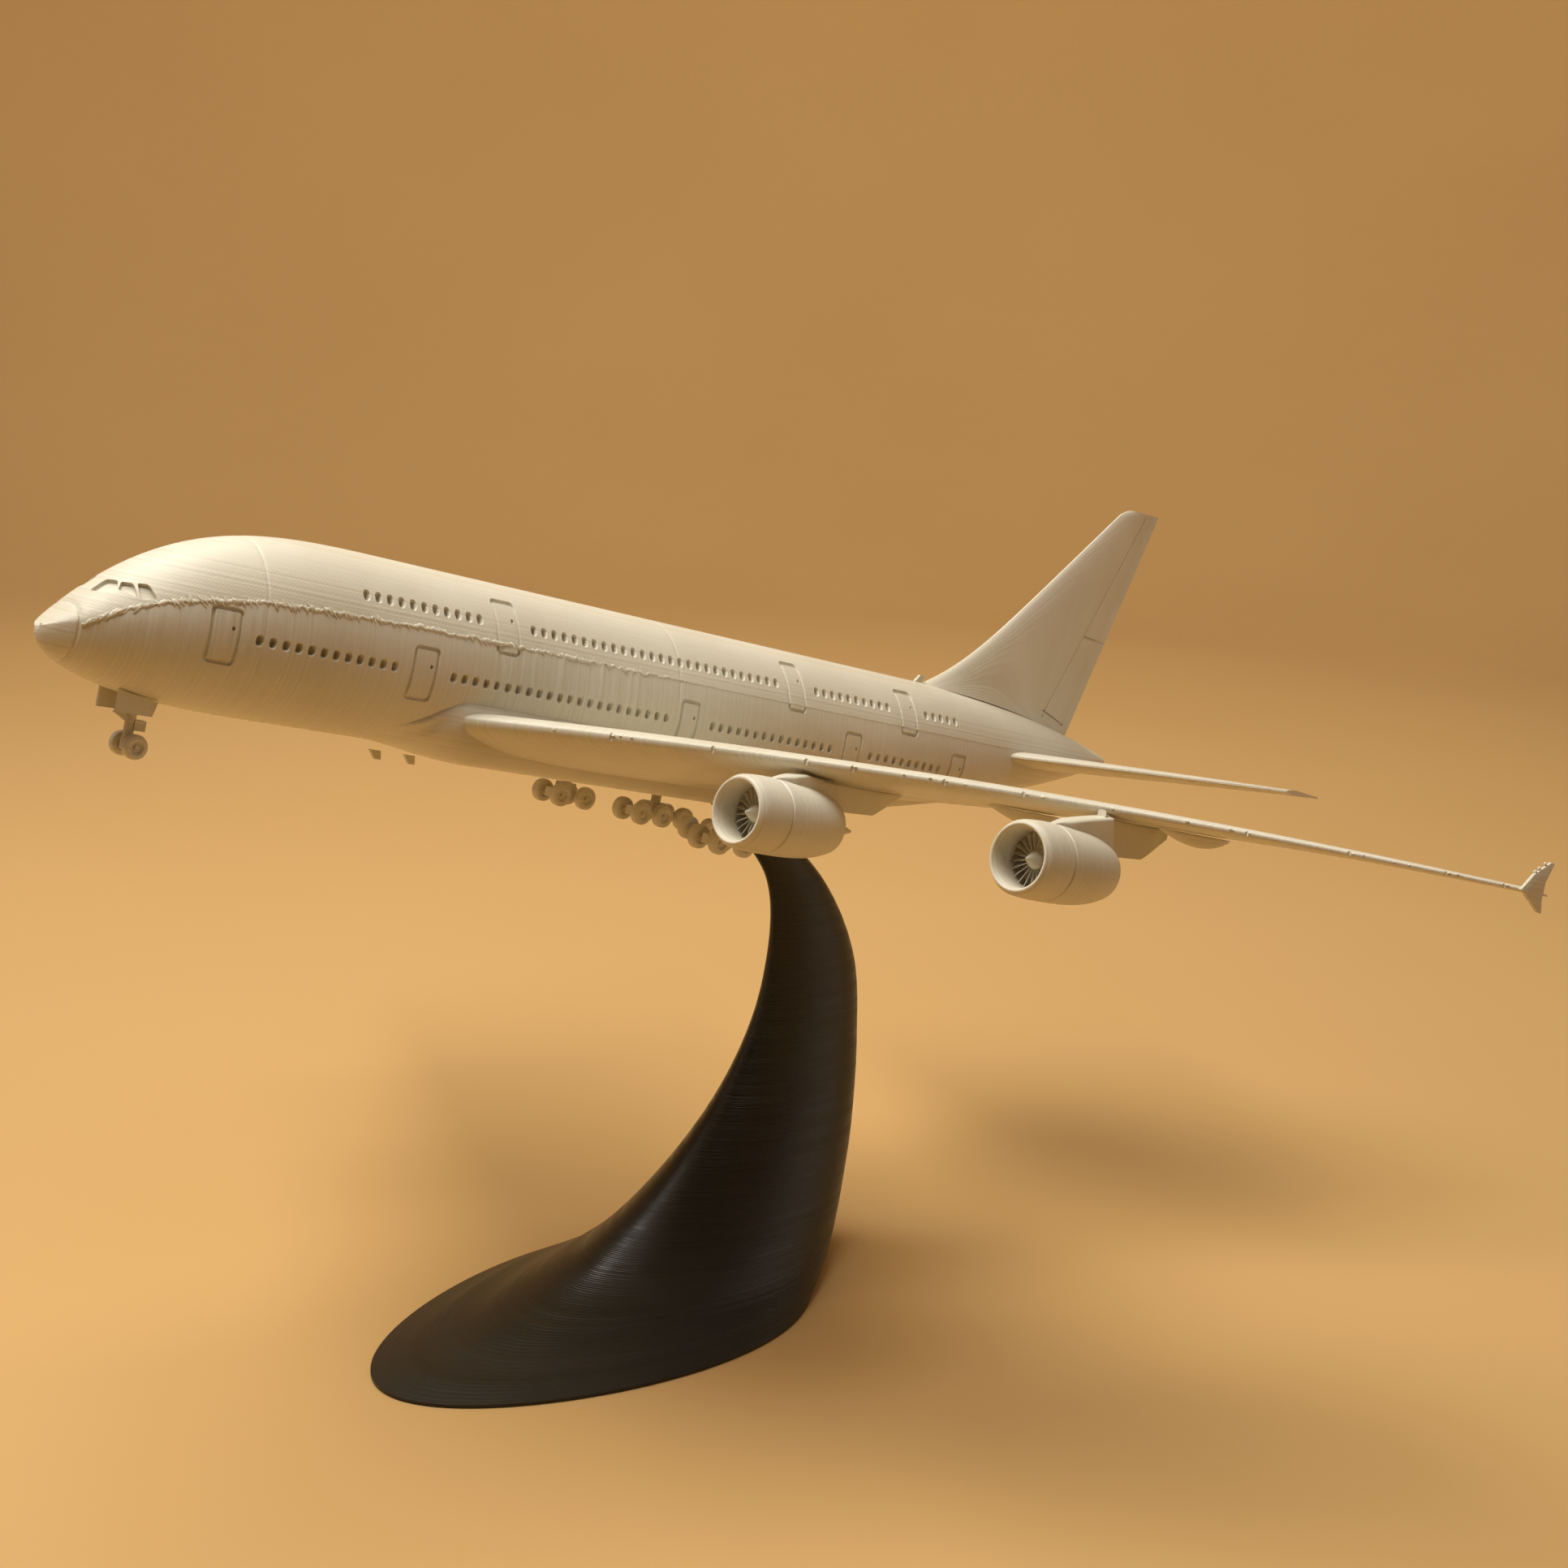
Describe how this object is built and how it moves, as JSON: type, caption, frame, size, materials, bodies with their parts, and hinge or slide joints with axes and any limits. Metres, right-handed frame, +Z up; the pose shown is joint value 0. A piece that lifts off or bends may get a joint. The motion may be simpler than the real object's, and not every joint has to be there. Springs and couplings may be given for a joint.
{
  "type": "desktop airliner model",
  "caption": "Printed desktop model of a double-deck, four-engine airliner with its landing gear down, nose up on a curved display stand.",
  "frame": {"origin": "centre of the stand's foot, on the desk", "axes": "+X towards the tail, +Y to the aircraft's starboard side, +Z up; the nose points along -X and 13 degrees up"},
  "size_m": [0.37, 0.396, 0.2095],
  "materials": {
    "airframe_print": "satin",
    "fan_print": "satin",
    "gear_print": "matte",
    "wheel_print": "matte",
    "stand_print": "satin",
    "steel_pin": "satin"
  },
  "bodies": {
    "display_stand": {"stand": "stand_print"},
    "aircraft": {"stand_socket": "airframe_print", "nose_radome": "airframe_print", "nose_upper_shell": "airframe_print", "nose_lower_shell": "airframe_print", "mid_upper_shell": "airframe_print", "mid_lower_shell": "airframe_print", "rear_upper_shell": "airframe_print", "rear_lower_shell": "airframe_print", "tail_cone": "airframe_print", "belly_fairing": "airframe_print", "port_wing": "airframe_print", "starboard_wing": "airframe_print", "port_wing_fence": "airframe_print", "starboard_wing_fence": "airframe_print", "wing_joiner_rods": "steel_pin", "fin": "airframe_print", "port_tailplane": "airframe_print", "starboard_tailplane": "airframe_print", "tail_dowels": "steel_pin", "port_outer_pylon": "airframe_print", "port_inner_pylon": "airframe_print", "starboard_inner_pylon": "airframe_print", "starboard_outer_pylon": "airframe_print", "port_outer_intake_cowl": "airframe_print", "port_inner_intake_cowl": "airframe_print", "starboard_inner_intake_cowl": "airframe_print", "starboard_outer_intake_cowl": "airframe_print", "port_outer_rear_cowl": "airframe_print", "port_inner_rear_cowl": "airframe_print", "starboard_inner_rear_cowl": "airframe_print", "starboard_outer_rear_cowl": "airframe_print", "port_outer_engine_core": "airframe_print", "port_inner_engine_core": "airframe_print", "starboard_inner_engine_core": "airframe_print", "starboard_outer_engine_core": "airframe_print", "port_flap_track_fairings": "airframe_print", "starboard_flap_track_fairings": "airframe_print", "nose_gear_leg": "gear_print", "nose_gear_doors": "gear_print", "port_wing_gear_leg": "gear_print", "starboard_wing_gear_leg": "gear_print", "port_body_gear_leg": "gear_print", "starboard_body_gear_leg": "gear_print", "antennas": "airframe_print"},
    "port_outer_fan": {"port_outer_fan": "fan_print"},
    "port_inner_fan": {"port_inner_fan": "fan_print"},
    "starboard_inner_fan": {"starboard_inner_fan": "fan_print"},
    "starboard_outer_fan": {"starboard_outer_fan": "fan_print"},
    "nose_wheels": {"nose_wheels": "wheel_print"},
    "port_wing_gear_wheels_1": {"port_wing_gear_wheels_1": "wheel_print"},
    "port_wing_gear_wheels_2": {"port_wing_gear_wheels_2": "wheel_print"},
    "starboard_wing_gear_wheels_1": {"starboard_wing_gear_wheels_1": "wheel_print"},
    "starboard_wing_gear_wheels_2": {"starboard_wing_gear_wheels_2": "wheel_print"},
    "port_body_gear_wheels_1": {"port_body_gear_wheels_1": "wheel_print"},
    "port_body_gear_wheels_2": {"port_body_gear_wheels_2": "wheel_print"},
    "port_body_gear_wheels_3": {"port_body_gear_wheels_3": "wheel_print"},
    "starboard_body_gear_wheels_1": {"starboard_body_gear_wheels_1": "wheel_print"},
    "starboard_body_gear_wheels_2": {"starboard_body_gear_wheels_2": "wheel_print"},
    "starboard_body_gear_wheels_3": {"starboard_body_gear_wheels_3": "wheel_print"}
  },
  "joints": [
    {"name": "lift_off", "type": "slide", "parent": "display_stand", "child": "aircraft", "axis": [0.225, 0, 0.9744], "range_m": [0, 0.03]},
    {"name": "port_outer_fan_spin", "type": "hinge", "parent": "aircraft", "child": "port_outer_fan", "pos_m": [0.0067, -0.128, 0.15054], "axis": [0.9681, 0, -0.2504], "continuous": true},
    {"name": "port_inner_fan_spin", "type": "hinge", "parent": "aircraft", "child": "port_inner_fan", "pos_m": [-0.02531, -0.0754, 0.15413], "axis": [0.9681, 0, -0.2504], "continuous": true},
    {"name": "starboard_inner_fan_spin", "type": "hinge", "parent": "aircraft", "child": "starboard_inner_fan", "pos_m": [-0.02531, 0.0754, 0.15413], "axis": [0.9681, 0, -0.2504], "continuous": true},
    {"name": "starboard_outer_fan_spin", "type": "hinge", "parent": "aircraft", "child": "starboard_outer_fan", "pos_m": [0.0067, 0.128, 0.15054], "axis": [0.9681, 0, -0.2504], "continuous": true},
    {"name": "nose_wheels_roll", "type": "hinge", "parent": "aircraft", "child": "nose_wheels", "pos_m": [-0.13408, 0, 0.16711], "axis": [0, 1, 0], "continuous": true},
    {"name": "port_wing_gear_wheels_1_roll", "type": "hinge", "parent": "aircraft", "child": "port_wing_gear_wheels_1", "pos_m": [0.00129, -0.031, 0.13596], "axis": [0, 1, 0], "continuous": true},
    {"name": "port_wing_gear_wheels_2_roll", "type": "hinge", "parent": "aircraft", "child": "port_wing_gear_wheels_2", "pos_m": [0.00957, -0.031, 0.13405], "axis": [0, 1, 0], "continuous": true},
    {"name": "starboard_wing_gear_wheels_1_roll", "type": "hinge", "parent": "aircraft", "child": "starboard_wing_gear_wheels_1", "pos_m": [0.00129, 0.031, 0.13596], "axis": [0, 1, 0], "continuous": true},
    {"name": "starboard_wing_gear_wheels_2_roll", "type": "hinge", "parent": "aircraft", "child": "starboard_wing_gear_wheels_2", "pos_m": [0.00957, 0.031, 0.13405], "axis": [0, 1, 0], "continuous": true},
    {"name": "port_body_gear_wheels_1_roll", "type": "hinge", "parent": "aircraft", "child": "port_body_gear_wheels_1", "pos_m": [0.01395, -0.013, 0.13304], "axis": [0, 1, 0], "continuous": true},
    {"name": "port_body_gear_wheels_2_roll", "type": "hinge", "parent": "aircraft", "child": "port_body_gear_wheels_2", "pos_m": [0.02126, -0.013, 0.13135], "axis": [0, 1, 0], "continuous": true},
    {"name": "port_body_gear_wheels_3_roll", "type": "hinge", "parent": "aircraft", "child": "port_body_gear_wheels_3", "pos_m": [0.02857, -0.013, 0.12967], "axis": [0, 1, 0], "continuous": true},
    {"name": "starboard_body_gear_wheels_1_roll", "type": "hinge", "parent": "aircraft", "child": "starboard_body_gear_wheels_1", "pos_m": [0.01395, 0.013, 0.13304], "axis": [0, 1, 0], "continuous": true},
    {"name": "starboard_body_gear_wheels_2_roll", "type": "hinge", "parent": "aircraft", "child": "starboard_body_gear_wheels_2", "pos_m": [0.02126, 0.013, 0.13135], "axis": [0, 1, 0], "continuous": true},
    {"name": "starboard_body_gear_wheels_3_roll", "type": "hinge", "parent": "aircraft", "child": "starboard_body_gear_wheels_3", "pos_m": [0.02857, 0.013, 0.12967], "axis": [0, 1, 0], "continuous": true}
  ]
}
